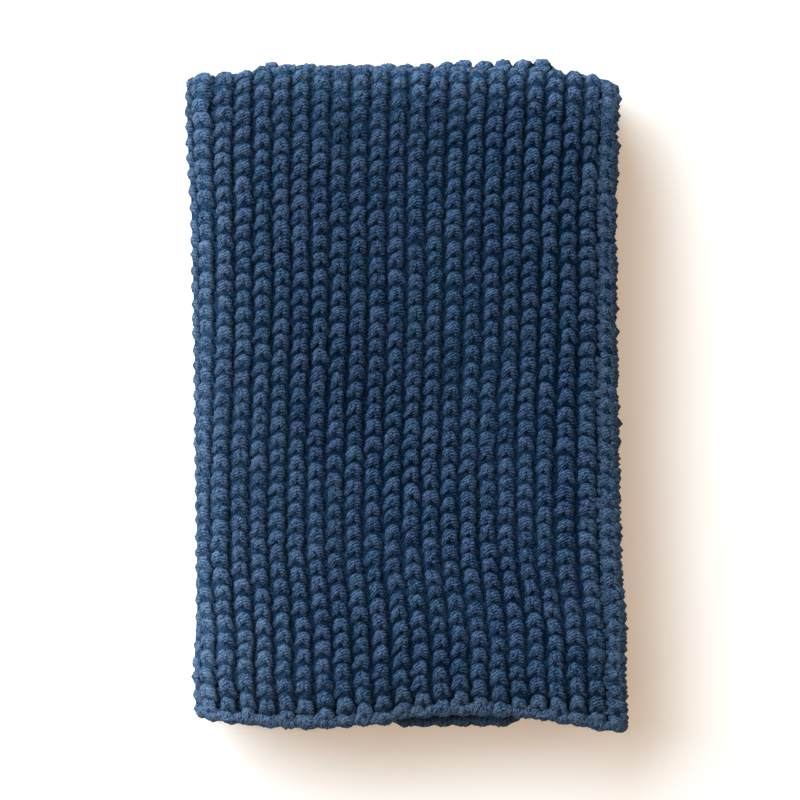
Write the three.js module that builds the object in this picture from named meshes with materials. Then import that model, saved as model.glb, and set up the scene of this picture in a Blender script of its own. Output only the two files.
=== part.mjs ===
// A knitted cotton dishcloth, folded in half and then in thirds, lying flat on a table.
// Millimetres, +Z up. The half fold is at +Y, the open edges at -Y, and the ribs run along Y.
import * as THREE from 'three';

// The knit: a ribbed sheet, with each rib of one face a groove of the other.
const KNIT_THICKNESS = 2.2;
const RIB_RELIEF = 0.4;
const RIB_COUNT = 66;
const LAYER_GAP = 0.4;
const EDGE_THINNING = 0.7;

// The folded bundle, before its edges wander.
const FOLDED_WIDTH = 83.6;
const SIDE_SOFTENING = 0.06;
const END_SOFTENING = 0.07;
const WAIST_DEPTH = 0.03;
const WAIST_HALF_LENGTH = 26;
const SOFTENING_POWER = 5;
const HALF_LENGTH = 65;

const CLOTH_COLOUR = 0x2c4769;

// What follows from the sizes above.
const LAYER_PITCH = KNIT_THICKNESS + 2 * RIB_RELIEF + LAYER_GAP;
const HALF_FOLD_RADIUS = LAYER_PITCH / 2;
const THIRD_FOLD_RADIUS = LAYER_PITCH;
const DOUBLE_REACH = HALF_FOLD_RADIUS + KNIT_THICKNESS / 2 + RIB_RELIEF;
const FOLD_REACH = THIRD_FOLD_RADIUS + DOUBLE_REACH;
const LEFT_FOLD = -FOLDED_WIDTH / 2 + FOLD_REACH;
const RIGHT_FOLD = FOLDED_WIDTH / 2 - FOLD_REACH;
const TOP_THIRD_HEIGHT = 4 * THIRD_FOLD_RADIUS + DOUBLE_REACH;

// The route of the doubled cloth across the bundle, seen from its -Y end: the top third runs
// left, turns down round the left fold, and the next third turns back round the right fold.
const ROUTE = [
  { length: FOLDED_WIDTH / 2 - LEFT_FOLD, turn: 0 },
  { length: Math.PI * THIRD_FOLD_RADIUS, turn: 1 },
  { length: RIGHT_FOLD - LEFT_FOLD, turn: 0 },
  { length: Math.PI * THIRD_FOLD_RADIUS, turn: -1 },
  { length: RIGHT_FOLD + FOLDED_WIDTH / 2, turn: 0 },
];
const ROUTE_LENGTH = ROUTE.reduce((sum, piece) => sum + piece.length, 0);
const LAST_THIRD_START = ROUTE_LENGTH - ROUTE[ROUTE.length - 1].length;

// Where the half fold and the two free edges lie along Y, at places across each third.
// The thirds are counted from the top of the stack. Where a lower one peeks out it reaches further.
const END_LINES = [
  { third: 0, x: 41.8, fold: 60.4, front: -64.7, back: -62.0 },
  { third: 0, x: 37, fold: 62.4, front: -64.4, back: -61.0 },
  { third: 0, x: 31, fold: 63.3, front: -63.2, back: -60.6 },
  { third: 0, x: 24, fold: 63.7, front: -62.1, back: -60.6 },
  { third: 0, x: 19, fold: 63.7, front: -61.6, back: -63.8 },
  { third: 0, x: 10, fold: 63.8, front: -61.3, back: -64.1 },
  { third: 0, x: -1, fold: 63.9, front: -61.9, back: -63.8 },
  { third: 0, x: -5, fold: 64.1, front: -63.2, back: -62.6 },
  { third: 0, x: -20, fold: 64.1, front: -64.0, back: -62.4 },
  { third: 0, x: -28, fold: 63.8, front: -63.7, back: -62.0 },
  { third: 0, x: -31, fold: 62.8, front: -63.2, back: -61.6 },
  { third: 1, x: -35, fold: 62.6, front: -61.2, back: -61.0 },
  { third: 1, x: -29, fold: 63.4, front: -61.4, back: -60.6 },
  { third: 1, x: -26, fold: 65.1, front: -61.6, back: -60.4 },
  { third: 1, x: -15, fold: 64.8, front: -62.0, back: -60.8 },
  { third: 1, x: 6, fold: 64.9, front: -62.2, back: -61.2 },
  { third: 1, x: 11, fold: 65.6, front: -62.0, back: -61.4 },
  { third: 1, x: 28.5, fold: 65.8, front: -61.0, back: -61.0 },
  { third: 1, x: 31, fold: 63.2, front: -61.0, back: -61.2 },
  { third: 2, x: 35, fold: 61.4, front: -61.4, back: -62.0 },
  { third: 2, x: 10, fold: 62.6, front: -61.8, back: -62.4 },
  { third: 2, x: -20, fold: 62.2, front: -61.0, back: -62.2 },
  { third: 2, x: -41.8, fold: 60.6, front: -60.6, back: -60.8 },
];

// How far the bundle's two sides stand from its middle, at places along it.
const SIDE_LINES = [
  { y: 60, left: -42.8, right: 41.3 },
  { y: 50, left: -42.5, right: 41.0 },
  { y: 34, left: -41.7, right: 40.6 },
  { y: 0, left: -41.0, right: 41.0 },
  { y: -30, left: -40.7, right: 41.6 },
  { y: -44, left: -40.6, right: 42.6 },
  { y: -53, left: -41.3, right: 42.5 },
  { y: -64, left: -40.8, right: 42.8 },
];

// The stations down one face of the half-folded cloth, as shares of the way to the fold.
const DOWN_SHARES = [0, 0.02, 0.16, 0.36, 0.58, 0.8, 1];
const BEND_STEPS = 6;

// Smoothly eased value of one column of a table whose rows are sorted along `key`.
function eased(rows, key, place, column) {
  const sign = Math.sign(rows[rows.length - 1][key] - rows[0][key]);
  const next = rows.findIndex((row) => sign * row[key] >= sign * place);
  if (next === 0) return rows[0][column];
  if (next < 0) return rows[rows.length - 1][column];
  const [a, b] = [rows[next - 1], rows[next]];
  const share = THREE.MathUtils.smoothstep((place - a[key]) / (b[key] - a[key]), 0, 1);
  return THREE.MathUtils.lerp(a[column], b[column], share);
}

// The piece of the route that a distance along it falls on.
function routePiece(distance) {
  let end = 0;
  return ROUTE.find((piece) => (end += piece.length) >= distance) ?? ROUTE[ROUTE.length - 1];
}

// How far along the route a place in the knit lies. The layer on the outside of a fold takes more
// knit to pass it than the layer inside, so the ribs keep their spacing. `up` is the layer's height
// over the middle of the doubled cloth.
function routeDistance(place, up) {
  let knit = place;
  let distance = 0;
  for (const { length, turn } of ROUTE) {
    const own = length + turn * Math.PI * up;
    distance += length * THREE.MathUtils.clamp(knit / own, 0, 1);
    knit -= own;
  }
  return distance;
}

// The distance along the route at which a third of the cloth passes x.
function routePlace({ third, x }) {
  const before = ROUTE.slice(0, 2 * third).reduce((sum, piece) => sum + piece.length, 0);
  const start = [FOLDED_WIDTH / 2, LEFT_FOLD, RIGHT_FOLD][third];
  return before + Math.abs(x - start);
}

const END_ROWS = END_LINES.map((row) => ({ ...row, place: routePlace(row) }));

// The point and the upward side of the doubled cloth's middle, at a distance along the route.
function routePoint(distance) {
  let x = FOLDED_WIDTH / 2;
  let z = TOP_THIRD_HEIGHT;
  let heading = Math.PI;
  let left = distance;
  for (const { length, turn } of ROUTE) {
    const step = THREE.MathUtils.clamp(left, 0, length);
    left -= step;
    if (turn === 0) {
      x += Math.cos(heading) * step;
      continue;
    }
    const next = heading + (turn * step) / THIRD_FOLD_RADIUS;
    x += turn * THIRD_FOLD_RADIUS * (Math.sin(next) - Math.sin(heading));
    z += turn * THIRD_FOLD_RADIUS * (Math.cos(heading) - Math.cos(next));
    heading = next;
  }
  return { x, z, sideX: Math.sin(heading), sideZ: -Math.cos(heading) };
}

// The stations round the half fold: front face, bend, back face. `angle` is 0 in front, pi behind.
// `up` is the layer's height over the middle of the doubled cloth, for its share of the ribs. Both
// layers have the same share at the half fold, where they are one.
function halfFoldStations() {
  const leg = (edge, angle) => DOWN_SHARES.map((share) => (
    { edge, share, angle, up: share === 1 ? 0 : HALF_FOLD_RADIUS * Math.cos(angle) }
  ));
  const bend = Array.from({ length: BEND_STEPS - 1 }, (_, step) => (
    { edge: 'front', share: 1, angle: (Math.PI * (step + 1)) / BEND_STEPS, up: 0 }
  ));
  return [...leg('front', 0), ...bend, ...leg('back', Math.PI).reverse()];
}

// The height of the bundle there, as a share of its full height: soft sides and ends, faint waist.
function fullness(x, y) {
  const side = SIDE_SOFTENING * Math.abs(x / (FOLDED_WIDTH / 2)) ** SOFTENING_POWER;
  const end = END_SOFTENING * Math.abs(y / HALF_LENGTH) ** SOFTENING_POWER;
  const waist = WAIST_DEPTH * Math.exp(-((y / WAIST_HALF_LENGTH) ** 2));
  return 1 - side - end - waist;
}

// One point of the cloth. `across` runs along the route, the station down or round the half fold,
// and `offset` goes out of the knit's middle towards its outer face.
function clothPoint(across, station, offset) {
  const bendMiddle = eased(END_ROWS, 'place', across, 'fold') - DOUBLE_REACH;
  const freeEdge = eased(END_ROWS, 'place', across, station.edge);
  const radius = HALF_FOLD_RADIUS + offset;
  const down = THREE.MathUtils.lerp(freeEdge, bendMiddle, station.share);
  const y = down + radius * Math.sin(station.angle);
  const up = radius * Math.cos(station.angle);
  const middle = routePoint(across);
  const x = middle.x + up * middle.sideX;
  const z = middle.z + up * middle.sideZ;
  const left = eased(SIDE_LINES, 'y', y, 'left');
  const right = eased(SIDE_LINES, 'y', y, 'right');
  const placed = (left + right) / 2 + (x * (right - left)) / FOLDED_WIDTH;
  return [placed, y, z * fullness(x, y)];
}

// Whether a place in the knit turns round a fold, in the front layer or in the back one.
function inFold(place) {
  return [1, -1].some((side) => routePiece(routeDistance(place, side * HALF_FOLD_RADIUS)).turn !== 0);
}

// The stations across the cloth: a groove and a crest for each rib, and one between round a fold.
function acrossStations() {
  const step = ROUTE_LENGTH / (2 * RIB_COUNT);
  const stations = [];
  for (let i = 0; i <= 2 * RIB_COUNT; i += 1) {
    stations.push({ place: i * step, rib: i % 2 === 0 ? -1 : 1 });
    const between = (i + 0.5) * step;
    if (between < ROUTE_LENGTH && inFold(between)) stations.push({ place: between, rib: 0 });
  }
  return stations;
}

// How far a face stands off the knit's middle. The knit thins to its free edges, the ribs press
// flat inside a fold, and the underside lies flat on the table.
function faceOffset(face, across, rib, angle, onRim) {
  const half = (KNIT_THICKNESS / 2) * (onRim ? EDGE_THINNING : 1);
  const insideFold = routePiece(across).turn * Math.cos(angle) < 0;
  const onTable = face === 1 && angle === Math.PI && across >= LAST_THIRD_START;
  if (onTable) return KNIT_THICKNESS / 2 + RIB_RELIEF;
  return face * half + (insideFold ? 0 : rib * RIB_RELIEF);
}

// The folded cloth's closed skin: outer face, inner face, and the rim all round between them.
function clothGeometry() {
  const columns = acrossStations();
  const stations = halfFoldStations();
  const [lastColumn, lastRow] = [columns.length - 1, stations.length - 1];
  const points = [];
  for (const face of [1, -1]) {
    for (const [i, column] of columns.entries()) {
      for (const [j, station] of stations.entries()) {
        const onRim = i === 0 || i === lastColumn || j === 0 || j === lastRow;
        const across = routeDistance(column.place, station.up);
        const offset = faceOffset(face, across, column.rib, station.angle, onRim);
        points.push(...clothPoint(across, station, offset));
      }
    }
  }

  const rows = stations.length;
  const inner = columns.length * rows;
  const triangles = [];
  const quad = (a, b, c, d) => triangles.push(a, b, c, a, c, d);
  for (let i = 0; i < lastColumn; i += 1) {
    const [start, end] = [i * rows, i * rows + lastRow];
    quad(start, start + rows, inner + start + rows, inner + start);
    quad(end, inner + end, inner + end + rows, end + rows);
    for (let a = start; a < end; a += 1) {
      quad(a, a + 1, a + rows + 1, a + rows);
      quad(inner + a, inner + a + rows, inner + a + rows + 1, inner + a + 1);
    }
  }
  for (let j = 0; j < lastRow; j += 1) {
    const last = lastColumn * rows + j;
    quad(j, inner + j, inner + j + 1, j + 1);
    quad(last, last + 1, inner + last + 1, inner + last);
  }

  const geometry = new THREE.BufferGeometry();
  geometry.setAttribute('position', new THREE.Float32BufferAttribute(points, 3));
  geometry.setIndex(triangles);
  return geometry;
}

// The bundle stands on its underside, with its box centred over the origin.
function centred(geometry) {
  geometry.computeBoundingBox();
  const { min, max } = geometry.boundingBox;
  geometry.translate(-(min.x + max.x) / 2, -(min.y + max.y) / 2, -min.z);
  return geometry;
}

function dishcloth() {
  const knit = new THREE.MeshStandardMaterial({
    color: CLOTH_COLOUR,
    roughness: 0.95,
    metalness: 0,
  });
  const cloth = new THREE.Mesh(centred(clothGeometry()), knit);
  cloth.name = 'cloth';
  return cloth;
}

const group = new THREE.Group();
group.add(dishcloth());

export default group;
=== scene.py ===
# %% [markdown]
# # A knitted cotton dishcloth, folded
# The real thing is one square of thick ribbed knit, 25 cm a side, in navy plied cotton. It is
# folded in half and then in thirds, and lies flat. This lesson builds it in three steps: a map
# that folds any point of the flat knit, a thin sheet laid through that map, and the yarn itself,
# loop by loop, laid through the same map wherever an eye can reach it.

import bpy
import numpy as np
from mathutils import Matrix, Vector


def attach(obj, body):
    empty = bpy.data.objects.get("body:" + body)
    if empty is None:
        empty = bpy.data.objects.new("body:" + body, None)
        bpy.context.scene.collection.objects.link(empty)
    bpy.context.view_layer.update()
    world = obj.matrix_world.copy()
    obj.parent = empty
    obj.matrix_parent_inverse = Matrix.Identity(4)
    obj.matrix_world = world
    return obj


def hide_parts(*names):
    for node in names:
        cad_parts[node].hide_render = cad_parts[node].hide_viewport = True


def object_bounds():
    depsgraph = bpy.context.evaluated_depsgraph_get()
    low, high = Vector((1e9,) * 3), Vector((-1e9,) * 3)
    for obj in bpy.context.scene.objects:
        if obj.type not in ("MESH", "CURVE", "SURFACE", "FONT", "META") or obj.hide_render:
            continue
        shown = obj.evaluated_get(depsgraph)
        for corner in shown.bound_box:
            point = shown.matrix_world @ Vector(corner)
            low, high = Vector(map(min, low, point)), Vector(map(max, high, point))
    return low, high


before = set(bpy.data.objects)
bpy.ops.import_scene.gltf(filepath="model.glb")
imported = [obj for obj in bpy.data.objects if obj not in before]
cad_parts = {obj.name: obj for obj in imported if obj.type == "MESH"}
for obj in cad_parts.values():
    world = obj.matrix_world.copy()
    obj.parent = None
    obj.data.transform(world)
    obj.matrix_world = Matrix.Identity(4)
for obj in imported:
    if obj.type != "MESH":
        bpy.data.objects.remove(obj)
cad_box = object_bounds()
rng = np.random.default_rng(25)
MM = 0.001
cloth_low, cloth_high = (np.array(corner) / MM for corner in cad_box)
print("cloth's box, mm:", cloth_low.round(2), cloth_high.round(2))

# %% [markdown]
# ## The fold map
# A folded cloth could be simulated, but a neat fold is two bends, one after the other, and both
# are simple curves. So a point of the flat knit is given by three numbers: its place across the
# knit, its row of stitches from one free edge to the other, and its lift out of the knit's middle.
# The first bend is the half fold: rows run up the front layer, round a half circle, and down the
# back layer. The second carries the doubled cloth left, round a fold, right, round another, left.

# %% Sizes of the knit and of its folds, in millimetres
KNIT_THICKNESS = 2.2
RIB_RELIEF = 0.4
LAYER_GAP = 0.4
RIB_COUNT = 66
FOLDED_WIDTH = 83.6
CREST = KNIT_THICKNESS / 2 + RIB_RELIEF
LAYER_PITCH = 2 * CREST + LAYER_GAP
HALF_FOLD_RADIUS = LAYER_PITCH / 2
THIRD_FOLD_RADIUS = LAYER_PITCH
DOUBLE_REACH = HALF_FOLD_RADIUS + CREST
FOLD_X = FOLDED_WIDTH / 2 - THIRD_FOLD_RADIUS - DOUBLE_REACH
TOP_THIRD_HEIGHT = 4 * THIRD_FOLD_RADIUS + DOUBLE_REACH

OUTER_RUN = FOLDED_WIDTH / 2 + FOLD_X
FOLD_RUN = np.pi * THIRD_FOLD_RADIUS
# Columns: length along the doubled cloth's middle, and which way it turns.
ROUTE = ((OUTER_RUN, 0), (FOLD_RUN, 1), (2 * FOLD_X, 0), (FOLD_RUN, -1), (OUTER_RUN, 0))
KNIT_WIDTH = sum(length for length, turn in ROUTE)
COLUMN_PITCH = KNIT_WIDTH / RIB_COUNT

LAYER_ROWS = 40.0
FOLD_ROWS = 2.6
ROWS = 2 * LAYER_ROWS + FOLD_ROWS
ROW_PITCH = 3.12
print(f"knit {KNIT_WIDTH:.1f} mm across, {RIB_COUNT} ribs of {COLUMN_PITCH:.2f} mm, {ROWS:.1f} rows")

# %% The wandering edges, as short tables in millimetres
# Columns: third of the stack from its top, x, half fold, front layer's edge, back layer's edge.
END_LINES = np.array([
    (0, 41.8, 60.4, -64.7, -62.0),
    (0, 37.0, 62.4, -64.4, -61.0),
    (0, 31.0, 63.3, -63.2, -60.6),
    (0, 24.0, 63.7, -62.1, -60.6),
    (0, 18.4, 63.7, -61.6, -63.7),
    (0, 10.0, 63.8, -61.3, -63.6),
    (0, -1.0, 63.9, -61.9, -63.8),
    (0, -5.0, 64.1, -63.2, -62.6),
    (0, -20.0, 64.1, -64.0, -62.4),
    (0, -28.0, 63.8, -63.7, -62.0),
    (0, -31.0, 62.8, -63.2, -61.6),
    (1, -35.0, 62.6, -61.2, -61.0),
    (1, -29.0, 63.4, -61.4, -60.6),
    (1, -26.0, 65.1, -61.6, -60.4),
    (1, -15.0, 64.8, -62.0, -60.8),
    (1, 6.0, 64.9, -62.2, -61.2),
    (1, 11.0, 65.6, -62.0, -61.4),
    (1, 28.5, 65.8, -61.0, -61.0),
    (1, 31.0, 63.2, -61.0, -61.2),
    (2, 35.0, 61.4, -61.4, -62.0),
    (2, 10.0, 62.6, -61.8, -62.4),
    (2, -20.0, 62.2, -61.0, -62.2),
    (2, -41.8, 60.6, -60.6, -60.8),
])
# Columns: y, left side, right side.
SIDE_LINES = np.array([
    (-64.0, -40.8, 42.8),
    (-53.0, -41.3, 42.5),
    (-44.0, -40.6, 42.6),
    (-30.0, -40.7, 41.6),
    (0.0, -41.0, 41.0),
    (34.0, -41.7, 40.6),
    (50.0, -42.5, 41.0),
    (60.0, -42.8, 41.3),
])
# Columns: share of the way up a layer, how far its ribs lean towards +X there.
LEAN = np.array([
    (0.0, 0.0),
    (0.1, -0.4),
    (0.19, -1.3),
    (0.28, -1.9),
    (0.78, 0.0),
    (1.0, 0.8),
])
LEAN_TAPER = 3 * COLUMN_PITCH
SLIP_SHARE = 0.2

third = END_LINES[:, 0].astype(int)
third_start = np.array([0, OUTER_RUN + FOLD_RUN, OUTER_RUN + 2 * FOLD_RUN + 2 * FOLD_X])[third]
third_x = np.array([FOLDED_WIDTH / 2, -FOLD_X, FOLD_X])[third]
END_PLACES = third_start + np.abs(END_LINES[:, 1] - third_x)
print("edges are set at these places along the route:", END_PLACES.round(0).tolist())


# %% The fold map itself
def eased(places, values, at):
    """A table's value at a place: from row to row along 3s^2 - 2s^3, level at each row."""
    after = np.clip(np.searchsorted(places, at), 1, len(places) - 1)
    share = np.clip((at - places[after - 1]) / (places[after] - places[after - 1]), 0, 1)
    share = share * share * (3 - 2 * share)
    return values[after - 1] + (values[after] - values[after - 1]) * share


def route_distance(place, up):
    """How far along the route a place in the knit lies. A layer at height `up` over the doubled
    cloth's middle takes pi times `up` more knit to pass a fold that it is outside of, and as much
    less where it is inside, so its ribs keep their spacing."""
    knit = place
    distance = 0.0
    for number, (length, turn) in enumerate(ROUTE):
        own = length + turn * np.pi * up
        low = -np.inf if number == 0 else 0
        high = np.inf if number == len(ROUTE) - 1 else 1
        distance = distance + length * np.clip(knit / own, low, high)
        knit = knit - own
    return distance


def route_point(distance):
    """The doubled cloth's middle there, and its upward side: straight runs joined by half
    circles, each adding its turn to the heading."""
    x = FOLDED_WIDTH / 2
    z = TOP_THIRD_HEIGHT
    heading = np.pi
    left = distance
    for number, (length, turn) in enumerate(ROUTE):
        low = -np.inf if number == 0 else 0
        high = np.inf if number == len(ROUTE) - 1 else length
        step = np.clip(left, low, high)
        left = left - step
        if turn == 0:
            x = x + np.cos(heading) * step
            continue
        turned = heading + turn * step / THIRD_FOLD_RADIUS
        x = x + turn * THIRD_FOLD_RADIUS * (np.sin(turned) - np.sin(heading))
        z = z + turn * THIRD_FOLD_RADIUS * (np.cos(heading) - np.cos(turned))
        heading = turned
    return x, z, np.sin(heading), -np.cos(heading)


SIDE_DROP = 0.06
END_DROP = 0.07
DROP_POWER = 5
HALF_LENGTH = 65.0
WAIST_DROP = 0.03
WAIST_REACH = 26.0


def fullness(x, y):
    """The stack's height as a share: a fifth power falls off to the sides and the ends, and a
    bell curve leaves a faint waist."""
    side = SIDE_DROP * np.abs(x / (FOLDED_WIDTH / 2)) ** DROP_POWER
    end = END_DROP * np.abs(y / HALF_LENGTH) ** DROP_POWER
    return 1 - side - end - WAIST_DROP * np.exp(-((y / WAIST_REACH) ** 2))


def fold(place, row, lift):
    """Fold points of the flat knit. `place` is millimetres across it, `row` counts stitches from
    the front layer's free edge, and `lift` is millimetres out of its middle."""
    front = row < ROWS / 2
    share = np.minimum(np.where(front, row, ROWS - row) / LAYER_ROWS, 1)
    angle = np.pi * np.clip((row - LAYER_ROWS) / FOLD_ROWS, 0, 1)
    slip = np.where(front, 1, -1) * np.clip((1 - share) / SLIP_SHARE, 0, 1)
    taper = np.clip(np.minimum(place, KNIT_WIDTH - place) / LEAN_TAPER, 0, 1)
    place = place - eased(LEAN[:, 0], LEAN[:, 1], share) * taper
    across = route_distance(place, HALF_FOLD_RADIUS * slip)
    bend = eased(END_PLACES, END_LINES[:, 2], across) - DOUBLE_REACH
    edge = np.where(front, eased(END_PLACES, END_LINES[:, 3], across),
                    eased(END_PLACES, END_LINES[:, 4], across))
    radius = HALF_FOLD_RADIUS + lift
    y = edge + (bend - edge) * share + radius * np.sin(angle)
    up = radius * np.cos(angle)
    middle_x, middle_z, side_x, side_z = route_point(across)
    x = middle_x + up * side_x
    z = middle_z + up * side_z
    left = eased(SIDE_LINES[:, 0], SIDE_LINES[:, 1], y)
    right = eased(SIDE_LINES[:, 0], SIDE_LINES[:, 2], y)
    placed = (left + right) / 2 + x * (right - left) / FOLDED_WIDTH
    return np.stack([placed, y, z * fullness(x, y)], axis=-1)


top_middle = fold(np.array(OUTER_RUN / 2), np.array(LAYER_ROWS / 2), np.array(0.0))
print("the middle of the top layer folds to, mm:", top_middle.round(1))


# %% Set the map in the frame
# The frame's origin is under the middle of the cloth's box, so the map is moved by the difference
# between its own box and that one.
probe_place, probe_row = np.meshgrid(np.linspace(0, KNIT_WIDTH, 800), np.linspace(0, ROWS, 400))
probe = fold(probe_place, probe_row, np.full_like(probe_row, CREST)).reshape(-1, 3)
SHIFT = (cloth_low + cloth_high) / 2 - (probe.min(axis=0) + probe.max(axis=0)) / 2
SHIFT[2] = 0.0
print("map's box, mm:", (probe.min(axis=0) + SHIFT).round(2), (probe.max(axis=0) + SHIFT).round(2))


def folded_metres(place, row, lift):
    """Folded points in the frame, in metres, one to a line."""
    return ((fold(place, row, lift) + SHIFT) * MM).reshape(-1, 3)


# %% [markdown]
# ## Meshes from arrays
# Every piece here is a grid of points or many copies of one tube. Blender takes whole arrays with
# `foreach_set`, which is quick even for a million corners. Finer facts about a point, such as
# where it lies on its yarn, ride along as attributes that the material reads.

# %% A piece from points and faces
def signed_volume(points, quads):
    """Six times the volume inside the quads, by summing the box product of each triangle."""
    a, b, c, d = (points[quads[:, corner]] for corner in range(4))
    return np.einsum("ij,ij->", a, np.cross(b, c)) + np.einsum("ij,ij->", a, np.cross(c, d))


def mesh_piece(name, points, faces, material, attributes):
    """A shaded piece from arrays of faces, each array with its own number of corners. Its faces
    are turned to point out. `attributes` holds a value or a vector for each point."""
    if signed_volume(points, faces[0]) < 0:
        faces = [group[:, ::-1] for group in faces]
    corners = np.concatenate([group.ravel() for group in faces])
    sizes = np.concatenate([np.full(len(group), group.shape[1]) for group in faces])
    starts = np.cumsum(sizes) - sizes
    mesh = bpy.data.meshes.new(name)
    mesh.vertices.add(len(points))
    mesh.vertices.foreach_set("co", points.astype(np.float32).ravel())
    mesh.loops.add(len(corners))
    mesh.loops.foreach_set("vertex_index", corners.astype(np.int32))
    mesh.polygons.add(len(sizes))
    mesh.polygons.foreach_set("loop_start", starts.astype(np.int32))
    mesh.polygons.foreach_set("use_smooth", np.ones(len(sizes), dtype=bool))
    mesh.update(calc_edges=True)
    for layer, values in attributes.items():
        vector = values.ndim == 2
        made = mesh.attributes.new(layer, "FLOAT_VECTOR" if vector else "FLOAT", "POINT")
        made.data.foreach_set("vector" if vector else "value", values.astype(np.float32).ravel())
    mesh.materials.append(material)
    piece = bpy.data.objects.new(name, mesh)
    bpy.context.scene.collection.objects.link(piece)
    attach(piece, "root")
    print(f"{name}: {int((sizes - 2).sum())} triangles")
    return piece


def tube_faces(copies, rings, sides):
    """Faces of many tubes, one after another, each `rings` rings of `sides` points: the quads of
    their walls, and a face with `sides` corners over each end."""
    ring, side = np.meshgrid(np.arange(rings - 1), np.arange(sides), indexing="ij")
    beside = (side + 1) % sides
    wall = np.stack([ring * sides + side, ring * sides + beside,
                     (ring + 1) * sides + beside, (ring + 1) * sides + side], axis=-1)
    first = np.arange(sides)[::-1]
    ends = np.stack([first, np.arange(sides) + (rings - 1) * sides])
    start = np.arange(copies)[:, None, None] * rings * sides
    return [(wall.reshape(1, -1, 4) + start).reshape(-1, 4),
            (ends[None] + start).reshape(-1, sides)]


# %% [markdown]
# ## The yarn's finish
# The yarn is navy cotton, thin plies laid together with a slight twist, matte and hairy. Its colour
# isn't even: each loop takes the dye a little differently, fine fibres run along the plies, and
# where the knit is folded or ends its fibres stand up in a paler, greyer nap that hides the plies.
# Light and shade are painted on as well: the grooves between plies, and the yarn deep in the knit,
# are painted darker as painted shade, and the left fold, the half fold, the front edge and the
# lower front are painted paler as painted light. An image could hold all that, but not at every
# scale, so nodes work it out. The yarn, the sheet under it and the loose fibres all need it, so the
# nodes are one group, with its own values in each material. It reads where a point lies on its
# yarn: the cosine and sine of its angle across the plies, and the length along them.

# %% Node helpers
def node(tree, kind, *inputs, **options):
    """Add a node, set its options, and fill its inputs in turn from values or other sockets. An
    input given as None keeps its own value."""
    made = tree.nodes.new(kind)
    for option, value in options.items():
        setattr(made, option, value)
    for socket, value in zip([s for s in made.inputs if s.enabled], inputs):
        if isinstance(value, bpy.types.NodeSocket):
            tree.links.new(value, socket)
        elif value is not None:
            socket.default_value = value
    return made


def maths(tree, operation, *inputs):
    """A math node's result."""
    return node(tree, "ShaderNodeMath", *inputs, operation=operation).outputs[0]


def mixed_colour(tree, share, low, high):
    """One colour going to another as the share goes from 0 to 1."""
    mix = node(tree, "ShaderNodeMix", share, low, high, data_type="RGBA")
    return next(socket for socket in mix.outputs if socket.enabled)


# %% The shared effect: twisted, dyed cotton
PLIES_ROUND = 11.0
PLY_DEPTH_MM = 0.25
FIBRE_DEPTH_MM = 0.36
NAP_DEPTH_MM = 0.22
FIBRE_STRETCH = (2.2, 2.2, 1.7)
NAP_PER_METRE = 2400.0
LOOP_SEED_STEP = 97.0
PLY_WANDER = 6.0
NAP_OVER_PLIES = 0.45
NAP_COVER = 0.8
NAP_GRAIN, NAP_GRAIN_BRUSHED = 1.5, 0.6
# How much of the way from middle to bright each cause brings; the plies' share is painted shade in their
# grooves.
BASE_BRIGHT = -0.05
TONE_BRIGHT = 0.4
BRUSHED_BRIGHT = 0.4
PLY_GROOVE_SHADE = 0.55
FIBRE_BRIGHT = 3.0
NAP_BRIGHT = 1.8


def even_noise(tree, at, scale):
    """Fractal noise of three octaves round nought."""
    noise = node(tree, "ShaderNodeTexNoise", at, scale, 3.0, 0.7).outputs[0]
    return maths(tree, "SUBTRACT", noise, 0.5)


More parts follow.
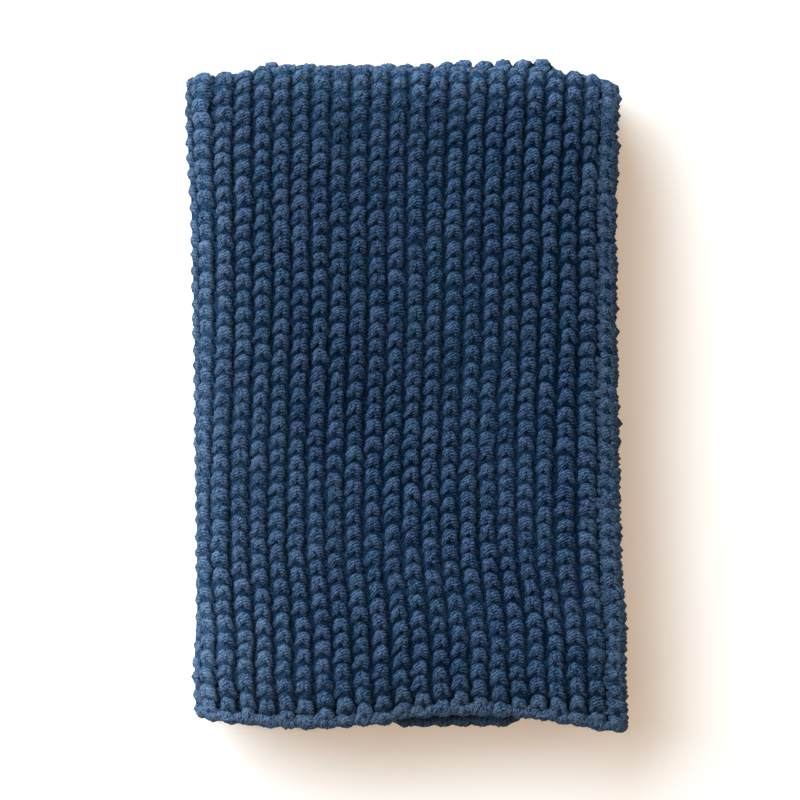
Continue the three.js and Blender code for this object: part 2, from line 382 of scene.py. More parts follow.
def cotton_group():
    """Colour runs from middle to dyed with the plies' roundness, the loop's own tone, noise that is
    stretched along the plies, and an even nap; the plies' roundness is painted shade in the grooves
    between plies. Loop holds the loop's tone, its dye from violet to teal, and how much nap it has,
    towards the napped colour. Light is painted light and shade: below 1 it goes to the deep colour
    as painted shade, and above 1 it makes the colour paler as painted light. Height is in
    millimetres."""
    tree = bpy.data.node_groups.new("Twisted cotton", "ShaderNodeTree")
    for name, kind, default in (("Deep", "Color", (0.01, 0.02, 0.04, 1)),
                                ("Middle", "Color", (0.03, 0.06, 0.12, 1)),
                                ("Violet", "Color", (0.08, 0.12, 0.25, 1)),
                                ("Teal", "Color", (0.08, 0.14, 0.23, 1)),
                                ("Napped", "Color", (0.09, 0.12, 0.18, 1)),
                                ("Place", "Vector", (0, 0, 0)),
                                ("Strand", "Vector", (0, 0, 0)),
                                ("Loop", "Vector", (0.5, 0.5, 0)),
                                ("Plies", "Float", PLIES_ROUND),
                                ("Light", "Float", 1.0)):
        socket = tree.interface.new_socket(name, in_out="INPUT", socket_type="NodeSocket" + kind)
        socket.default_value = default
    tree.interface.new_socket("Colour", in_out="OUTPUT", socket_type="NodeSocketColor")
    tree.interface.new_socket("Height", in_out="OUTPUT", socket_type="NodeSocketFloat")
    given = tree.nodes.new("NodeGroupInput").outputs
    strand = node(tree, "ShaderNodeSeparateXYZ", given["Strand"]).outputs
    tone, dye, fluff = node(tree, "ShaderNodeSeparateXYZ", given["Loop"]).outputs
    plain = maths(tree, "MULTIPLY_ADD", fluff, -NAP_OVER_PLIES, 1.0)

    stretched = node(tree, "ShaderNodeVectorMath", given["Strand"], FIBRE_STRETCH,
                     operation="MULTIPLY").outputs[0]
    own_start = maths(tree, "MULTIPLY", tone, LOOP_SEED_STEP)
    stretched = node(tree, "ShaderNodeVectorMath", stretched, own_start, operation="ADD").outputs[0]
    fibre = even_noise(tree, stretched, 1.0)
    nap = even_noise(tree, given["Place"], NAP_PER_METRE)

    angle = maths(tree, "ARCTAN2", strand["Y"], strand["X"])
    half_plies = maths(tree, "MULTIPLY", given["Plies"], 0.5)
    turns = maths(tree, "MULTIPLY_ADD", angle, half_plies,
                  maths(tree, "MULTIPLY", fibre, PLY_WANDER))
    ply = maths(tree, "MULTIPLY", maths(tree, "ABSOLUTE", maths(tree, "COSINE", turns)), plain)

    bright = maths(tree, "MULTIPLY_ADD", tone, TONE_BRIGHT, BASE_BRIGHT)
    bright = maths(tree, "MULTIPLY_ADD", fluff, BRUSHED_BRIGHT, bright)
    # painted shade: the grooves between plies are painted darker
    bright = maths(tree, "MULTIPLY_ADD", ply, PLY_GROOVE_SHADE, bright)
    bright = maths(tree, "MULTIPLY_ADD", fibre, FIBRE_BRIGHT, bright)
    grain = maths(tree, "MULTIPLY_ADD", fluff, NAP_GRAIN_BRUSHED, NAP_GRAIN)
    napped = maths(tree, "MULTIPLY", nap, grain)
    bright = maths(tree, "MULTIPLY_ADD", napped, NAP_BRIGHT, bright)
    dyed = mixed_colour(tree, dye, given["Violet"], given["Teal"])
    dyed = mixed_colour(tree, maths(tree, "MULTIPLY", fluff, NAP_COVER), dyed, given["Napped"])
    lit = mixed_colour(tree, bright, given["Middle"], dyed)
    # painted shade below a light of 1, painted light above it
    sunk = mixed_colour(tree, given["Light"], given["Deep"], lit)
    paler = maths(tree, "MAXIMUM", given["Light"], 1.0)
    colour = node(tree, "ShaderNodeVectorMath", sunk, paler, operation="SCALE").outputs[0]
    height = maths(tree, "MULTIPLY", ply, PLY_DEPTH_MM)
    height = maths(tree, "MULTIPLY_ADD", fibre, FIBRE_DEPTH_MM, height)
    height = maths(tree, "MULTIPLY_ADD", napped, NAP_DEPTH_MM, height)
    out = tree.nodes.new("NodeGroupOutput")
    tree.links.new(colour, out.inputs["Colour"])
    tree.links.new(height, out.inputs["Height"])
    return tree


TWISTED_COTTON = cotton_group()
print("group:", [item.name for item in TWISTED_COTTON.interface.items_tree])


# %% Materials from the shared effect
def cotton(name, deep, middle, violet, teal, napped, sheen):
    """A matte cotton from five linear colours. The mesh's own attributes say where on the yarn each
    point lies, its loop's tone, dye and nap, and its light: painted shade that deepens the less far
    out of the knit's floor it stands, and painted light where the tables give paleness."""
    material = bpy.data.materials.new(name)
    material.use_nodes = True
    tree = material.node_tree
    surface = tree.nodes["Principled BSDF"]
    effect = node(tree, "ShaderNodeGroup", node_tree=TWISTED_COTTON)
    for socket, value in (("Deep", deep), ("Middle", middle), ("Violet", violet), ("Teal", teal),
                          ("Napped", napped)):
        effect.inputs[socket].default_value = (*value, 1)
    effect.inputs["Plies"].default_value = PLIES_ROUND
    strand, loop, light = (node(tree, "ShaderNodeAttribute", attribute_name=layer).outputs
                           for layer in ("strand", "loop", "light"))
    place = node(tree, "ShaderNodeTexCoord").outputs["Object"]
    for socket, source in (("Strand", strand["Vector"]), ("Loop", loop["Vector"]),
                           ("Light", light["Fac"]), ("Place", place)):
        tree.links.new(source, effect.inputs[socket])
    bump = node(tree, "ShaderNodeBump")
    bump.inputs["Strength"].default_value = 1.0
    bump.inputs["Distance"].default_value = MM
    tree.links.new(effect.outputs["Height"], bump.inputs["Height"])
    tree.links.new(effect.outputs["Colour"], surface.inputs["Base Color"])
    tree.links.new(bump.outputs["Normal"], surface.inputs["Normal"])
    surface.inputs["Roughness"].default_value = 0.95
    surface.inputs["Specular IOR Level"].default_value = 0.0
    surface.inputs["Sheen Weight"].default_value = sheen
    surface.inputs["Sheen Roughness"].default_value = 0.5
    surface.inputs["Sheen Tint"].default_value = (0.25, 0.5, 0.9, 1)
    return material


# The first colour, deep, is painted shade for yarn deep in the knit.
YARN = cotton("navy cotton yarn", (0.000, 0.011, 0.034), (0.002, 0.018, 0.046),
              (0.086, 0.120, 0.216), (0.071, 0.128, 0.210), (0.084, 0.116, 0.165), sheen=0.06)
# The sheet in the grooves: the same navy, painted far darker as painted shade.
GROOVE_SHADE_KNIT = cotton("navy cotton in the grooves", (0.002, 0.014, 0.036), (0.002, 0.014, 0.036),
                    (0.019, 0.040, 0.076), (0.016, 0.042, 0.074), (0.022, 0.040, 0.066), sheen=0.0)
FUZZ = cotton("loose cotton fibres", (0.05, 0.09, 0.17), (0.05, 0.09, 0.17), (0.11, 0.16, 0.27),
              (0.09, 0.17, 0.25), (0.11, 0.15, 0.22), sheen=0.0)
print("materials:", YARN.name, GROOVE_SHADE_KNIT.name, FUZZ.name)

# %% Where the knit has its nap, and where light is painted on, as short tables
# Columns: place in millimetres, nap, paleness, which is painted light.
NAP_AND_PAINTED_LIGHT_BY_PLACE = np.array([
    (0.0, 1.0, 0.0),
    (4.0, 0.5, 0.0),
    (9.0, 0.0, 0.0),
    (52.0, 0.0, 0.0),
    (66.0, 0.2, 0.10),
    (74.0, 0.4, 0.28),
    (81.0, 0.8, 0.60),
    (100.0, 0.85, 0.72),
    (110.0, 0.0, 0.0),
    (KNIT_WIDTH - 6.0, 0.0, 0.0),
    (KNIT_WIDTH, 1.0, 0.0),
])
# Columns: row, nap, paleness, which is painted light.
NAP_AND_PAINTED_LIGHT_BY_ROW = np.array([
    (0.0, 1.0, 0.28),
    (1.0, 0.85, 0.20),
    (2.4, 0.0, 0.11),
    (14.0, 0.0, 0.11),
    (22.0, 0.0, 0.0),
    (38.0, 0.0, 0.0),
    (40.2, 0.6, 0.60),
    (42.4, 0.85, 1.0),
    (44.6, 0.0, 0.0),
    (ROWS - 2.4, 0.0, 0.0),
    (ROWS, 0.9, 0.0),
])
# The front's left corner is painted paler, painted light, by a bell of more nap and paleness.
CORNER_PLACE, CORNER_ROW = 74.0, 3.0
CORNER_WIDTH, CORNER_ROWS = 16.0, 9.0
CORNER_SHARE = 0.5


def nap_and_painted_light(place, row):
    """Nap and paleness there, the paleness being painted light: the larger of the two tables' values,
    and more of both near the front corner, along a bell curve, which paints light on that corner."""
    corner = np.exp(-((place - CORNER_PLACE) / CORNER_WIDTH) ** 2
                    - ((row - CORNER_ROW) / CORNER_ROWS) ** 2)
    made = []
    for column in (1, 2):
        table = np.maximum(eased(NAP_AND_PAINTED_LIGHT_BY_PLACE[:, 0], NAP_AND_PAINTED_LIGHT_BY_PLACE[:, column], place),
                           eased(NAP_AND_PAINTED_LIGHT_BY_ROW[:, 0], NAP_AND_PAINTED_LIGHT_BY_ROW[:, column], row))
        made.append(table + CORNER_SHARE * corner * (1 - table))
    return made


print("nap and paleness round the left fold:",
      [round(float(made), 2) for made in nap_and_painted_light(np.array(OUTER_RUN + FOLD_RUN / 2), np.array(20.0))])


# %% [markdown]
# ## The sheet under the yarn
# Between the ribs the eye reaches the knit's floor, a tight crossing of yarn in deep shade. It
# could be left open, but then light would leak through the layers. A thin closed skin through the
# fold map fills it, coloured far darker than the yarn: painted shade for the grooves. It has shallow
# ribs of its own under the yarn's, which stand taller where the knit has its nap, and it ends short
# of the side that is tucked under the left fold. It is also the cloth of this piece: one sheet of 25
# by 25 cm, through every fold, of which the yarn is the relief.

# %% The sheet
TUCKED = 1.1
SHEET_INSET = 0.9
SHEET_HALF = 0.4
SHEET_RELIEF = 0.2
SHEET_PALENESS = 2.2
SHEET_TONE, SHEET_DYE = 0.3, 0.5
NAP_RISE = 0.5
STATIONS_PER_RIB = 6
BEND_STATIONS = 13
LEG_STATIONS = 13


def sheet_points():
    """Two faces of one grid: places across, and rows down both layers and round the half fold. The
    ribs are a cosine of the place. Returns the grid, its nap and paleness, and the two faces."""
    places = np.linspace(SHEET_INSET, KNIT_WIDTH - TUCKED - SHEET_INSET,
                         STATIONS_PER_RIB * RIB_COUNT + 1)
    inset_rows = SHEET_INSET / ROW_PITCH
    rows = np.unique(np.concatenate([
        np.linspace(inset_rows, LAYER_ROWS, LEG_STATIONS),
        np.linspace(LAYER_ROWS, LAYER_ROWS + FOLD_ROWS, BEND_STATIONS),
        np.linspace(LAYER_ROWS + FOLD_ROWS, ROWS - inset_rows, LEG_STATIONS),
    ]))
    place, row = np.meshgrid(places, rows, indexing="ij")
    rib = -np.cos(2 * np.pi * place / COLUMN_PITCH)
    nap, pale = nap_and_painted_light(place, row)
    outer = folded_metres(place, row, rib * (SHEET_RELIEF + NAP_RISE * nap) + SHEET_HALF)
    inner = folded_metres(place, row, rib * SHEET_RELIEF - SHEET_HALF)
    return place, row, nap, pale, outer, inner


def sheet_faces(columns, rows):
    """Quads of both faces of the grid, and of the rim round it."""
    index = np.arange(columns * rows).reshape(columns, rows)
    a, b, c, d = index[:-1, :-1], index[1:, :-1], index[1:, 1:], index[:-1, 1:]
    outer = np.stack([a, b, c, d], axis=-1).reshape(-1, 4)
    inner = outer[:, ::-1] + index.size
    rim = np.concatenate([index[:, 0], index[-1, 1:], index[-2::-1, -1], index[0, -2:0:-1]])
    after = np.roll(rim, -1)
    wall = np.stack([after, rim, rim + index.size, after + index.size], axis=-1)
    return np.concatenate([outer, inner, wall])


place, row, nap, pale, outer, inner = sheet_points()
strand = np.stack([place, row * ROW_PITCH, np.zeros_like(row)], axis=-1).reshape(-1, 3)
knit_loop = np.stack([np.full(place.size, SHEET_TONE), np.full(place.size, SHEET_DYE),
                      nap.ravel()], axis=-1)
sheet = mesh_piece("cloth_sheet", np.concatenate([outer, inner]), [sheet_faces(*place.shape)],
                   GROOVE_SHADE_KNIT, {
                       "strand": np.concatenate([strand, strand]),
                       "loop": np.tile(knit_loop, (2, 1)),
                       # painted light: the sheet is painted paler by the tables' paleness
                       "light": np.tile(1 + SHEET_PALENESS * pale.ravel(), 2),
                   })

# %% [markdown]
# ## One loop of yarn
# In this knit every rib is a stack of loops, each an arch that covers the legs of the next. A
# real loop passes through its neighbours, front and back, but only the arch shows. It could be
# modelled whole, at ten times the faces. So a loop is a short tube whose middle line is an arch: a
# round head, and two legs that spread, thin out and sink into the knit, where the head below hides
# their ends. It is then pressed a little flat, with its lower edge standing out over the legs.

# %% A tube along any line
TWIST_PER_MM = 0.35


def tube(line, radii, sides, across):
    """One tube in flat knit millimetres, with x towards the world's right on the top face, y along
    the rows and z out of the knit. Each ring is a circle square to the line, turned from `across`.
    Returns its points and their place on the twist, rings by sides by 3."""
    tangent = np.gradient(line, axis=0)
    tangent /= np.linalg.norm(tangent, axis=1, keepdims=True)
    normal = across - tangent * (tangent @ across)[:, None]
    normal /= np.linalg.norm(normal, axis=1, keepdims=True)
    binormal = np.cross(tangent, normal)
    angle = 2 * np.pi * np.arange(sides) / sides
    cosine = np.cos(angle)[None, :, None]
    sine = np.sin(angle)[None, :, None]
    points = line[:, None] + radii[:, None, None] * (cosine * normal[:, None] + sine * binormal[:, None])
    steps = np.linalg.norm(np.diff(line, axis=0), axis=1)
    length = np.concatenate([[0], np.cumsum(steps)])
    turned = angle[None, :] - TWIST_PER_MM * length[:, None]
    along = np.repeat(length[:, None], sides, axis=1)
    return points, np.stack([np.cos(turned), np.sin(turned), along], axis=-1)


# %% The arch
YARN_RADIUS = 1.02
HEAD_HALF_WIDTH = 0.46
HEAD_TALLNESS = 0.6
HEAD_BULGE = 0.16
FLATNESS = 0.78
HEAD_SHARE = 0.36
LEG_SPREAD = 1.0
LEG_LENGTH = 2.3
LEG_SINK = 1.3
LEG_SINK_POWER = 1.2
LEG_SLIMMING = 0.34
ARCH_LIFT = CREST - FLATNESS * YARN_RADIUS - 0.04


def arch_line(segments):
    """The arch's middle line and radii. Over the head x = a sin, y = b cos, and the yarn is thickest
    at the top. Each leg then runs down the rows, spreading evenly, thinning with the root of its
    length and sinking a little faster than its length."""
    t = np.linspace(-1, 1, segments + 1)
    angle = np.clip(np.abs(t) / HEAD_SHARE, 0, 1) * np.pi / 2
    down = np.clip((np.abs(t) - HEAD_SHARE) / (1 - HEAD_SHARE), 0, 1)
    x = np.sign(t) * (HEAD_HALF_WIDTH * np.sin(angle) + LEG_SPREAD * down)
    y = HEAD_TALLNESS * HEAD_HALF_WIDTH * np.cos(angle) - LEG_LENGTH * down
    z = ARCH_LIFT - HEAD_BULGE * FLATNESS * YARN_RADIUS * np.cos(angle)
    z = z - LEG_SINK * down ** LEG_SINK_POWER
    radii = YARN_RADIUS * (1 + HEAD_BULGE * np.cos(angle) - LEG_SLIMMING * np.sqrt(down))
    return np.stack([x, y, z], axis=-1), radii


print("a head is", 2 * (HEAD_HALF_WIDTH + YARN_RADIUS), "mm wide, its rib", round(COLUMN_PITCH, 2))

# %% The press and the plies
HEAD_TILT = 0.2
TILT_MIDDLE = -0.3
TILT_LOW, TILT_HIGH = -0.9, 1.5
TILT_END = -2.0
PLY_LEAN = 0.4
PLY_BOW = 0.31


def pressed(points, line):
    """The loop pressed flatter towards its line, and its head tilted about its middle so that the
    lower edge stands out over the legs."""
    x, y, z = (points[..., axis] for axis in range(3))
    z = line[:, None, 2] + FLATNESS * (z - line[:, None, 2])
    z = z - HEAD_TILT * np.clip(y - TILT_MIDDLE, TILT_LOW, TILT_HIGH) * (y > TILT_END)
    return np.stack([x, y, z], axis=-1)


def bowed_plies(points):
    """Where each point lies on plies that pass over the loop in shallow bows, which lean up to the
    right: the height over a parabola, as an angle, and the distance across."""
    x, y = points[..., 0], points[..., 1]
    angle = (y - PLY_LEAN * x + PLY_BOW * x ** 2) / YARN_RADIUS
    return np.stack([np.cos(angle), np.sin(angle), x], axis=-1)


# %% Many loops laid on the knit
LUMPS = 0.115
TINT = 0.19
DYE_PER_TINT = 1.6
TURN_SPREAD = 0.09
SKEW_SPREAD = 0.07
SINK_SPREAD = 0.05
NOISE_STEP_MM = 50
SHADE_FROM, SHADE_DEPTH = -0.25, 1.35
EDGE_CLEARANCE = 0.7


def lay_loops(name, line, radii, sides, across, place, row, turn, spread,
              tint=TINT, lumps=LUMPS, on_face=True):
    """Copy one tube to each place and row, and fold them all with the knit. Each copy's points are
    lumped, scaled, skewed and turned by chance while the knit is flat. `turn` is added to the
    direction, in radians. `spread` is how much the copies' sizes vary, `tint` their tones and
    `lumps` their surfaces. Loops on a face are pressed flat, painted darker deep in the knit as
    painted shade, and don't pass the cloth's edges. Every loop is painted paler where the tables
    give paleness, as painted light."""
    points, strand = tube(line, radii, sides, across)
    if on_face:
        points = pressed(points, line)
        strand = bowed_plies(points)
    copies = len(place)
    chance = rng.normal(size=(copies, 7))
    angle = turn + TURN_SPREAD * chance[:, 0]
    width = 1 + spread * chance[:, 1]
    length = 1 + spread * chance[:, 2]
    lump = lumps * rng.normal(size=(copies, len(line), sides, 1))
    flat = (points + lump * (points - line[:, None])).reshape(copies, -1, 3)
    x = flat[..., 0] * width[:, None] + SKEW_SPREAD * chance[:, 5, None] * flat[..., 1]
    y = flat[..., 1] * length[:, None]
    turned_x = x * np.cos(angle)[:, None] - y * np.sin(angle)[:, None]
    turned_y = x * np.sin(angle)[:, None] + y * np.cos(angle)[:, None]
    z = flat[..., 2] - SINK_SPREAD * np.abs(chance[:, 3])[:, None]
    at_place = place[:, None] - turned_x
    at_row = row[:, None] + turned_y / ROW_PITCH
    if on_face:
        at_place = np.clip(at_place, EDGE_CLEARANCE, KNIT_WIDTH - EDGE_CLEARANCE)
        at_row = np.clip(at_row, EDGE_CLEARANCE / ROW_PITCH, ROWS - EDGE_CLEARANCE / ROW_PITCH)
    folded = folded_metres(at_place, at_row, z)
    tone = np.clip(0.5 + tint * chance[:, 4], 0, 1)
    dye = np.clip(0.5 + DYE_PER_TINT * tint * chance[:, 6], 0, 1)
    count = flat.shape[1]
    phase = rng.uniform(0, 2 * np.pi, (copies, 1))
    cosine, sine, along = strand.reshape(-1, 3).T
    strand = np.stack([cosine * np.cos(phase) - sine * np.sin(phase),
                       sine * np.cos(phase) + cosine * np.sin(phase),
                       along + NOISE_STEP_MM * tone[:, None]], axis=-1)
    nap, pale = nap_and_painted_light(at_place, at_row)
    loop = np.stack([np.repeat(tone, count), np.repeat(dye, count), nap.ravel()], axis=-1)
    # painted shade: loops on a face are painted darker the deeper they lie in the knit
    depth = np.ones((copies, count))
    if on_face:
        depth = np.clip((flat[..., 2] - SHADE_FROM) / SHADE_DEPTH, 0, 1)
    return mesh_piece(name, folded, tube_faces(copies, len(line), sides), YARN, {
        "strand": strand.reshape(-1, 3),
        "loop": loop,
        "light": (depth * (1 + pale)).ravel(),
    })


# %% [markdown]
# ## Where loops are needed
# There are about 5,400 loops on each face of the flat cloth, but most are hidden between layers.
# Only those on the outside of the folded stack are laid: the top, the two folds, the half folds
# of all three thirds, and the underside. The ones that face the eye have more points.

# %% The stitch table
FIRST_ROW = 0.5
STITCHES_PER_RIB = 82
PLACE_SCATTER_MM = 0.05
ROW_SCATTER = 0.045
ROW_WANDER = 0.03
SIZE_SPREAD = 0.05
UP = np.array([0.0, 0.0, 1.0])
stitch_column, stitch_number = np.meshgrid(np.arange(RIB_COUNT), np.arange(STITCHES_PER_RIB),
                                           indexing="ij")
table_size = stitch_column.shape
stitch_place = (stitch_column + 0.5) * COLUMN_PITCH
stitch_place = stitch_place + rng.normal(scale=PLACE_SCATTER_MM, size=table_size)
stitch_row = FIRST_ROW + stitch_number + 0.5 * (stitch_column % 2)
stitch_row = stitch_row + rng.normal(scale=ROW_SCATTER, size=table_size)
wander = np.cumsum(rng.normal(scale=ROW_WANDER, size=table_size), axis=1)
stitch_row = stitch_row + wander - wander.mean(axis=1, keepdims=True)
print("stitches on the outer face:", stitch_row.size)

on_front = stitch_row < LAYER_ROWS
on_half_fold = (stitch_row >= LAYER_ROWS) & (stitch_row < LAYER_ROWS + FOLD_ROWS)
on_back = stitch_row >= LAYER_ROWS + FOLD_ROWS
# Columns: piece, the stitches' side of the half fold, first rib, last rib, sides, segments.
STITCH_PIECES = (
    ("top_loops_right", on_front, 0, 9, 14, 12),
    ("top_loops_left", on_front, 10, 20, 14, 12),
    ("left_fold_loops", on_front, 21, 25, 12, 12),
    ("half_fold_loops", on_half_fold, 0, 65, 12, 10),
    ("right_fold_loops", on_back, 40, 46, 10, 10),
    ("underside_loops", on_back, 47, 65, 8, 8),
)
loops = []
for name, side_of_fold, first, last, sides, segments in STITCH_PIECES:
    chosen = side_of_fold & (stitch_column >= first) & (stitch_column <= last)
    line, radii = arch_line(segments)
    loops.append(lay_loops(name, line, radii, sides, UP, stitch_place[chosen], stitch_row[chosen],
                           0.0, SIZE_SPREAD))

# %% [markdown]
# ## The edges
# A hand-knitted cloth has no hem. Its first and last rows end in a firm chain that wraps the
# edge and is drawn in between the ribs, and its sides in small loops, close together. Both are
# what the eye reads as the cloth's thickness, so they are laid as yarn too: rows of slanting half
# rings round the free edges, and arches pointing out of the sides.

# %% The first and last rows
RIM_RADIUS = 0.86
RIM_TURN_RADIUS = 0.42
RIM_SLANT = 1.2
RIM_LEG = 0.8
RING_SHARE = 0.5
RIM_LEG_SINK = 0.45
RIM_LEG_SLIMMING = 0.25
RIM_SCALLOP_ROWS = 0.13
RIM_SPREAD = 0.08
RIM_LUMPS = 0.07
EDGE_SEGMENTS, EDGE_SIDES = 8, 8
EDGE_SCATTER_MM = 0.2
EDGE_TINT = 0.1


def rim_line(segments):
    """A half ring round the edge in the plane of rows and lift, with short legs up both faces,
    which sink and thin as the square of their length. It slants along the edge."""
    t = np.linspace(-1, 1, segments + 1)
    angle = np.clip(np.abs(t) / RING_SHARE, 0, 1) * np.pi / 2
    leg = np.clip((np.abs(t) - RING_SHARE) / (1 - RING_SHARE), 0, 1)
    z = np.sign(t) * (RIM_TURN_RADIUS * np.sin(angle) - RIM_LEG_SINK * leg ** 2)
    y = RIM_RADIUS + RIM_TURN_RADIUS * (1 - np.cos(angle)) + RIM_LEG * leg
    x = RIM_SLANT * t
    return np.stack([x, y, z], axis=-1), RIM_RADIUS * (1 - RIM_LEG_SLIMMING * leg ** 2)


SIDEWAYS = np.array([1.0, 0.0, 0.0])
WRAPS_PER_RIB = 5
rim_count = WRAPS_PER_RIB * RIB_COUNT
rim_place = np.linspace(2 * RIM_RADIUS, KNIT_WIDTH - 3 * RIM_RADIUS, rim_count)
rim_place += rng.normal(scale=EDGE_SCATTER_MM, size=rim_count)
drawn_in = RIM_SCALLOP_ROWS * (1 + np.cos(2 * np.pi * rim_place / COLUMN_PITCH)) / 2
line, radii = rim_line(EDGE_SEGMENTS)
for name, rim_row, turn in (("front_edge_chain", drawn_in, 0.0),
                            ("back_edge_chain", ROWS - drawn_in, np.pi)):
    loops.append(lay_loops(name, line, radii, EDGE_SIDES, SIDEWAYS, rim_place, rim_row, turn,
                           RIM_SPREAD, tint=EDGE_TINT, lumps=RIM_LUMPS, on_face=False))

# %% The sides
SELVAGE_LIFT = 0.15
SELVAGE_NARROWNESS = 0.6
SELVAGE_FLATNESS = 0.3
SELVAGE_YARN_SHARE = 0.92
SELVAGE_FIRST_ROW = 0.6
SELVAGE_STEP_ROWS = 0.5
SELVAGE_ROW_SCATTER = 0.14
SELVAGE_SPREAD = 0.12
SELVAGE_LUMPS = 0.1


def selvage(name, at_place, outward):
    """Arches that point out of a side, two to a row, above and below the knit's middle. Each is
    narrower and flatter than a face's arch, and its head touches the side's line."""
    line, radii = arch_line(EDGE_SEGMENTS)
    line[:, 0] *= SELVAGE_NARROWNESS
    line[:, 1] -= line[:, 1].max() + YARN_RADIUS
    line[:, 2] *= SELVAGE_FLATNESS
    line[:, 2] += SELVAGE_LIFT - line[:, 2].max()
    row = np.arange(SELVAGE_FIRST_ROW, ROWS - 0.5, SELVAGE_STEP_ROWS)
    made = []
    for face, sign in enumerate((1, -1)):
        own = line * [1, 1, sign]
        place = at_place + rng.normal(scale=EDGE_SCATTER_MM, size=len(row))
        own_row = row + rng.normal(scale=SELVAGE_ROW_SCATTER, size=len(row))
        made.append(lay_loops(f"{name}_{face + 1}", own[::sign], radii * SELVAGE_YARN_SHARE,
                              EDGE_SIDES, UP * sign, place, own_row, outward, SELVAGE_SPREAD,
                              tint=EDGE_TINT, lumps=SELVAGE_LUMPS, on_face=False))
    return made


loops += selvage("first_side_loops", 0.0, -np.pi / 2)
loops += selvage("last_side_loops", KNIT_WIDTH - TUCKED, np.pi / 2)

# %% [markdown]
# ## Loose fibres
# Cotton yarn is spun from short fibres, and their ends stand off it. Seen from a step away they
# soften the outline and lay a pale haze on the folds. A hair system would do, but eleven thousand
# thin tubes through the same map are as quick and stay plain meshes.

# %% The fibres
FIBRE_RADIUS = 0.014
FIBRE_TAPER = 0.6
FIBRE_CURL = 0.9
FIBRE_LENGTHS = (0.3, 1.0)
FIBRE_RISES = (-0.1, 0.8)
# Columns: fibres, first and last place, first and last row, least and most lift out of the middle.
FIBRE_PATCHES = (
    (2600, 1.0, 78.0, 0.5, 40.0, 1.1, 1.45),
    (2400, 80.0, 98.0, 0.5, 40.0, 1.1, 1.5),
    (2400, 1.0, 93.0, 39.8, 42.6, 1.1, 1.5),
    (2400, 0.0, 93.0, 0.06, 0.5, -0.8, 1.3),
    (1500, 0.2, 1.2, 0.2, 41.0, -0.6, 1.3),
)


def fibres(name):
    """Thin three-sided tubes that leave the yarn, bend by a curl that grows with their length, and
    end in the air, a different way each."""
    counts = [patch[0] for patch in FIBRE_PATCHES]
    copies, rings, sides = sum(counts), 3, 3
    low = np.repeat([patch[1::2] for patch in FIBRE_PATCHES], counts, axis=0)
    high = np.repeat([patch[2::2] for patch in FIBRE_PATCHES], counts, axis=0)
    place, row, lift = (rng.uniform(low, high).T)[:, :, None, None]
    t = np.linspace(0, 1, rings)[None, :, None]
    heading = rng.uniform(0, 2 * np.pi, copies)[:, None, None]
    curl = rng.normal(scale=FIBRE_CURL, size=copies)[:, None, None]
    length = rng.uniform(*FIBRE_LENGTHS, copies)[:, None, None]
    rise = rng.uniform(*FIBRE_RISES, copies)[:, None, None]
    radius = FIBRE_RADIUS * (1 - FIBRE_TAPER * t)
    angle = (2 * np.pi * np.arange(sides) / sides)[None, None, :]
    bend = heading + curl * t
    x = length * t * np.cos(bend) + radius * np.cos(angle)
    y = length * t * np.sin(bend) + radius * np.cos(angle)
    z = lift + rise * t * length + radius * np.sin(angle)
    folded = folded_metres(place - x, row + y / ROW_PITCH, z)
    loop = np.repeat(rng.uniform(0, 1, (copies, 3)) * [1, 1, 0], rings * sides, axis=0)
    return mesh_piece(name, folded, tube_faces(copies, rings, sides), FUZZ, {
        "strand": np.zeros((len(loop), 3)),
        "loop": loop,
        "light": np.ones(len(loop)),
    })


loops.append(fibres("loose_fibres"))

# %% [markdown]
# ## The table, the light and the camera
# The cloth was shot from straight above on a white surface, with one wide soft light from the
# upper left that burns the surface out to white. A warm, weaker light fills the shadow, which
# could be a second lamp. A plain warm world and a floor that glows faintly do it without a second
# shadow.

# %% The floor
FLOOR_HALF = 3.0
FLOOR_COLOUR = (0.86, 0.84, 0.82, 1)
FLOOR_GLOW = (1.0, 0.72, 0.50, 1)
FLOOR_GLOW_STRENGTH = 0.40


def floor():
    """A wide pale surface under the cloth."""
    mesh = bpy.data.meshes.new("floor")
    corners = [(x * FLOOR_HALF, y * FLOOR_HALF, 0) for x, y in ((-1, -1), (1, -1), (1, 1), (-1, 1))]
    mesh.from_pydata(corners, [], [(0, 1, 2, 3)])
    material = bpy.data.materials.new("white surface")
    material.use_nodes = True
    surface = material.node_tree.nodes["Principled BSDF"]
    surface.inputs["Base Color"].default_value = FLOOR_COLOUR
    surface.inputs["Roughness"].default_value = 0.9
    surface.inputs["Specular IOR Level"].default_value = 0.1
    surface.inputs["Emission Color"].default_value = FLOOR_GLOW
    surface.inputs["Emission Strength"].default_value = FLOOR_GLOW_STRENGTH
    mesh.materials.append(material)
    made = bpy.data.objects.new("floor", mesh)
    bpy.context.scene.collection.objects.link(made)
    return made


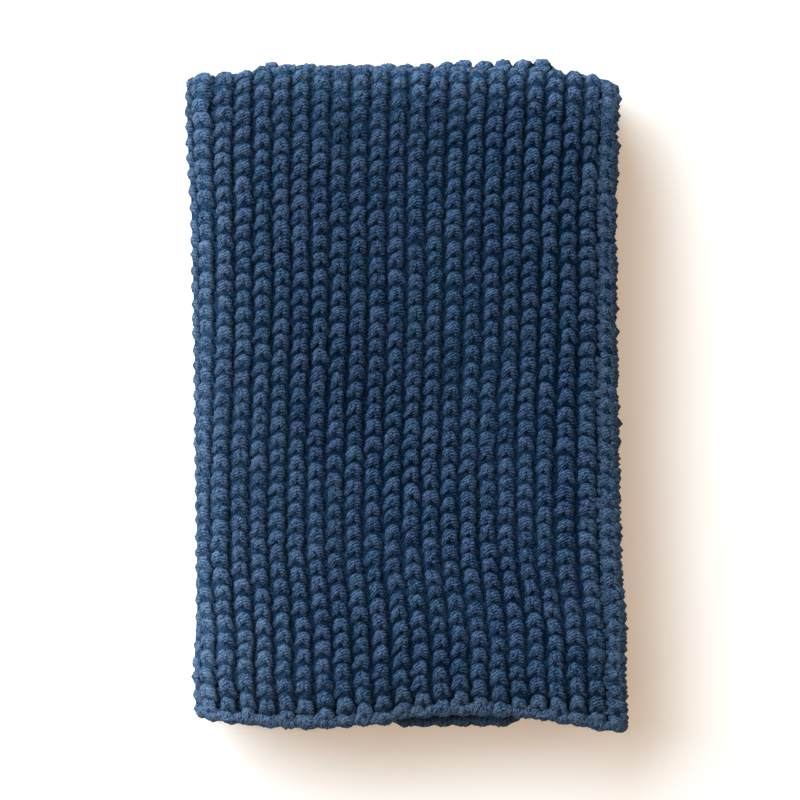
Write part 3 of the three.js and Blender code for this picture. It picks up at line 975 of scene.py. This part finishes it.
table = floor()
print("floor:", 2 * FLOOR_HALF, "m a side")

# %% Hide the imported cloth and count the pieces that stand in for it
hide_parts("cloth")
print("pieces of the cloth:", 1 + len(loops))


# %% The light
KEY_PLACE = (-0.86, 0.80, 0.76)
KEY_SIZE = 1.6
KEY_WATTS = 58.0
KEY_COLOUR = (0.72, 0.89, 1.0)
FILL_COLOUR = (1.0, 0.89, 0.80, 1)
FILL_STRENGTH = 0.30


def key_light(where, size, power):
    """A square soft light that points at the cloth."""
    data = bpy.data.lights.new("key", "AREA")
    data.shape = "SQUARE"
    data.size = size
    data.energy = power
    data.color = KEY_COLOUR
    made = bpy.data.objects.new("key", data)
    made.location = where
    made.rotation_euler = Vector(where).to_track_quat("Z", "Y").to_euler()
    bpy.context.scene.collection.objects.link(made)
    return made


key = key_light(KEY_PLACE, KEY_SIZE, KEY_WATTS)
world = bpy.data.worlds.new("warm fill")
world.use_nodes = True
background = world.node_tree.nodes["Background"]
background.inputs["Color"].default_value = FILL_COLOUR
background.inputs["Strength"].default_value = FILL_STRENGTH
bpy.context.scene.world = world
bpy.context.scene.view_settings.view_transform = "Standard"
print("key light:", KEY_WATTS, "W,", KEY_SIZE, "m wide,", round(key.location.length, 2), "m away")

# %% The camera
PHOTO_WIDTH_PX = 800
PX_PER_MM = 5.16
PHOTO_CENTRE_MM = (-0.97, -0.58)
CAMERA_HEIGHT = 0.75
SENSOR_MM = 36.0

camera_data = bpy.data.cameras.new("camera")
camera_data.sensor_width = SENSOR_MM
outline_depth = CAMERA_HEIGHT + cloth_high[2] * MM / 2
camera_data.lens = SENSOR_MM * outline_depth / (PHOTO_WIDTH_PX / PX_PER_MM * MM)
camera_data.clip_start = 0.01
camera = bpy.data.objects.new("camera", camera_data)
camera.location = ((PHOTO_CENTRE_MM[0] + SHIFT[0]) * MM, (PHOTO_CENTRE_MM[1] + SHIFT[1]) * MM,
                   cloth_high[2] * MM + CAMERA_HEIGHT)
bpy.context.scene.collection.objects.link(camera)
bpy.context.scene.camera = camera
print("lens, mm:", round(camera_data.lens, 1), "camera at", [round(c, 4) for c in camera.location])
